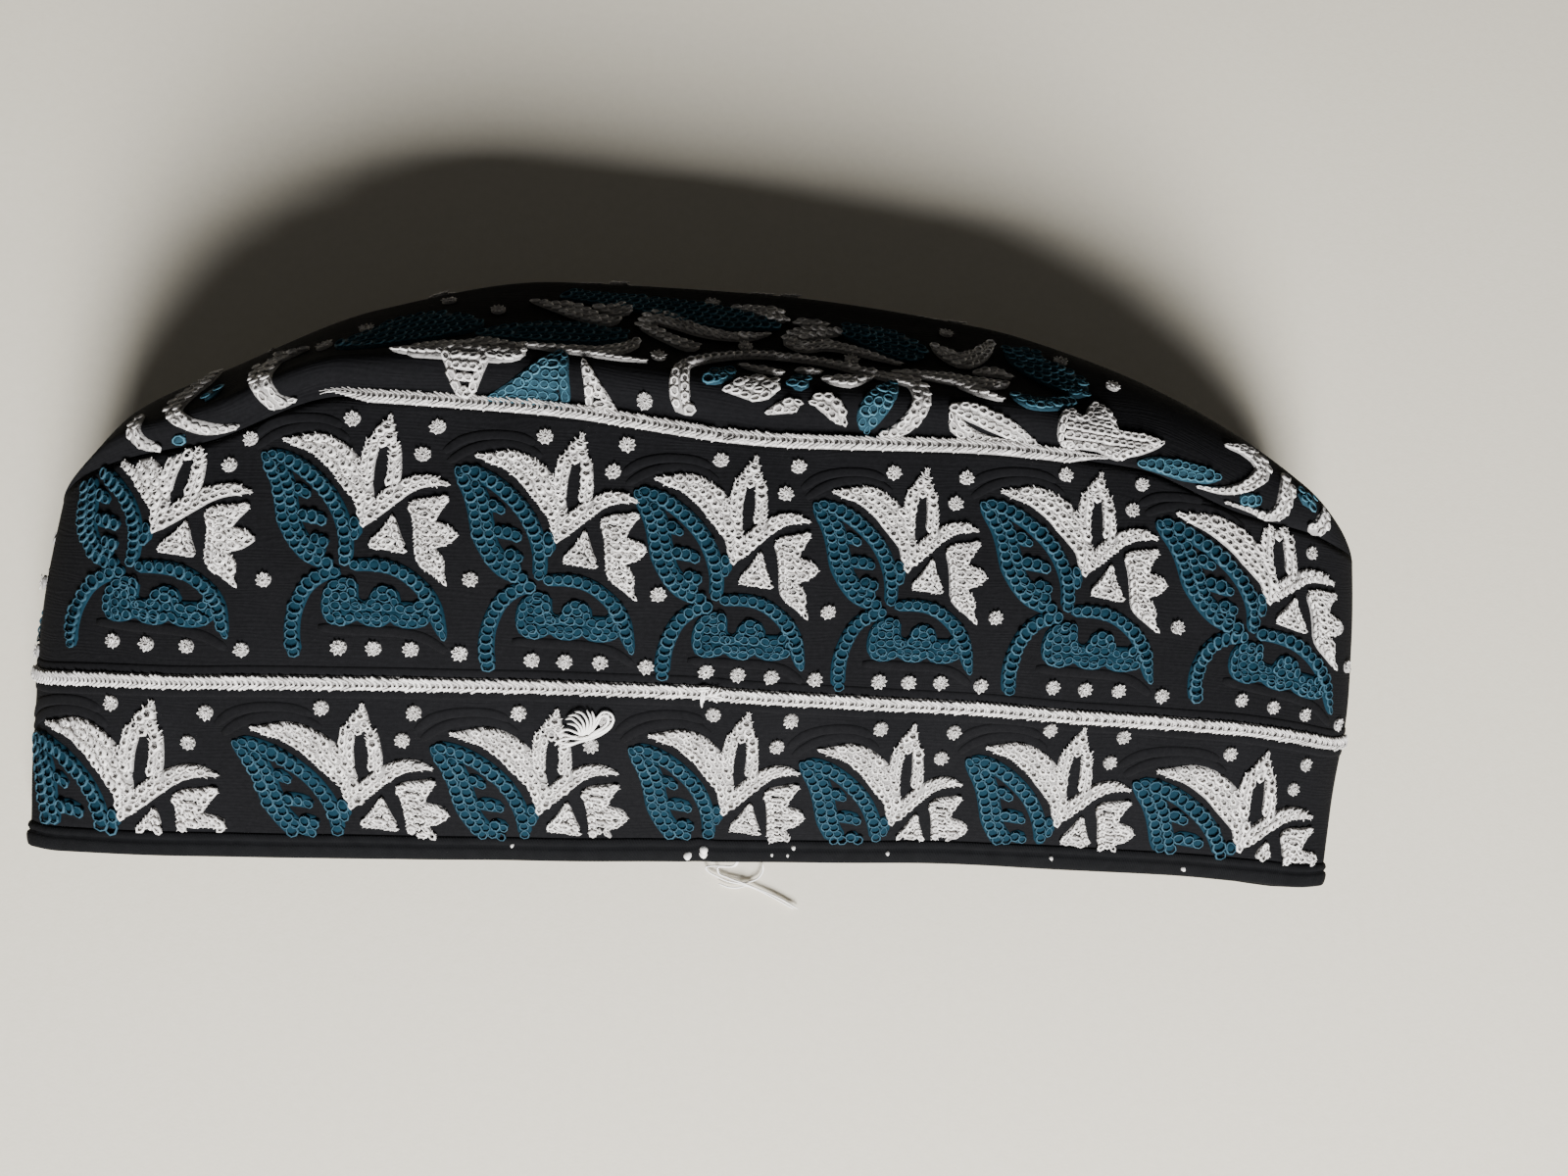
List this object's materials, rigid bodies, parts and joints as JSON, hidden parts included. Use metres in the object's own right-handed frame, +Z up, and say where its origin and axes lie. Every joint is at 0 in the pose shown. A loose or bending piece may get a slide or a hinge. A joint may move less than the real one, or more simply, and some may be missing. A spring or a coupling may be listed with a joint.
{
  "type": "embroidered kuma cap",
  "caption": "Soft round brimless cap with a tall embroidered band, a domed crown and a bound rim, lying on its side and pressed nearly flat.",
  "frame": {"origin": "under the middle of the cap's box, on the surface that the cap lies on", "axes": "+X across the cap to the right as its front wall is seen from above, +Y from the rim to the crown, +Z up from the surface"},
  "size_m": [0.2874, 0.1242, 0.0576],
  "materials": {
    "black_cloth": "matt charcoal black cotton with fine dark quilting",
    "binding_tape": "matt black padded tape with a sewn groove",
    "white_thread": "soft off-white embroidery thread in chain stitch",
    "teal_thread": "teal blue embroidery thread in open chain stitch"
  },
  "bodies": {
    "root": {"band": "black_cloth", "crown": "black_cloth", "rim_binding": "binding_tape"}
  },
  "joints": []
}
